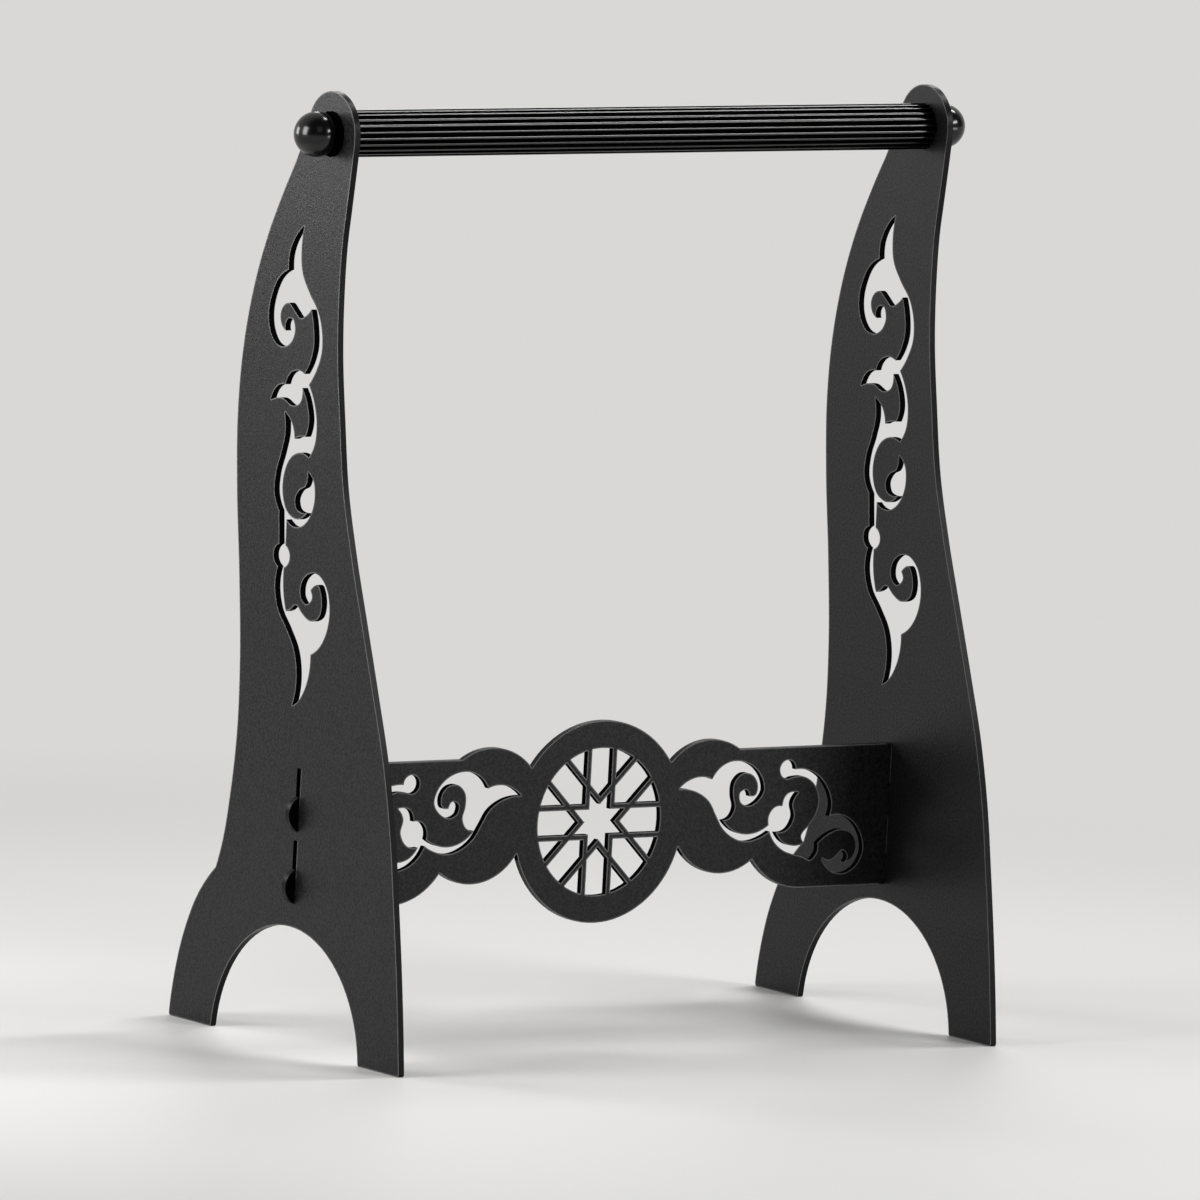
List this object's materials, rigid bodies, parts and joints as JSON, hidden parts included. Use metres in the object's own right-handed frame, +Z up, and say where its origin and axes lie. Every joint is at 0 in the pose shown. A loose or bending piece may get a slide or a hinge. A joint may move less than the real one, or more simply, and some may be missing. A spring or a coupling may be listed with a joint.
{
  "type": "towel stand",
  "caption": "Free-standing black metal towel stand: pierced arabesque side plates, fluted bar with ball ends, hook-in lower rail with a star lattice medallion.",
  "frame": {"origin": "on the floor, under the middle of the box round the stand", "axes": "+X along the towel bar to the right as the picture shows it, +Y to the back where the plates bulge at shoulder height, +Z up"},
  "size_m": [0.3732, 0.1902, 0.44],
  "materials": {
    "powder_coated_sheet": "fine-textured satin powder coat on sheet steel",
    "gloss_painted_bar": "gloss black paint on a drawn fluted tube",
    "gloss_black_ball": "polished gloss black",
    "plated_steel": "plain plated steel"
  },
  "bodies": {
    "frame": {"left_side_plate": "powder_coated_sheet", "right_side_plate": "powder_coated_sheet", "towel_bar": "gloss_painted_bar", "left_bar_plug": "plated_steel", "right_bar_plug": "plated_steel", "left_collar": "gloss_painted_bar", "right_collar": "gloss_painted_bar"},
    "rail": {"lower_rail": "powder_coated_sheet"},
    "left_finial": {"left_ball_finial": "gloss_black_ball", "left_stud": "plated_steel"},
    "right_finial": {"right_ball_finial": "gloss_black_ball", "right_stud": "plated_steel"}
  },
  "joints": [
    {"name": "rail_lift", "type": "slide", "parent": "frame", "child": "rail", "axis": [0, 0, 1], "range_m": [0, 0.0125]},
    {"name": "left_finial_turn", "type": "hinge", "parent": "frame", "child": "left_finial", "pos_m": [-0.169, -0.00225, 0.4205], "axis": [-1, 0, 0], "range_deg": [0, 360]},
    {"name": "right_finial_turn", "type": "hinge", "parent": "frame", "child": "right_finial", "pos_m": [0.169, -0.00225, 0.4205], "axis": [1, 0, 0], "range_deg": [0, 360]}
  ]
}
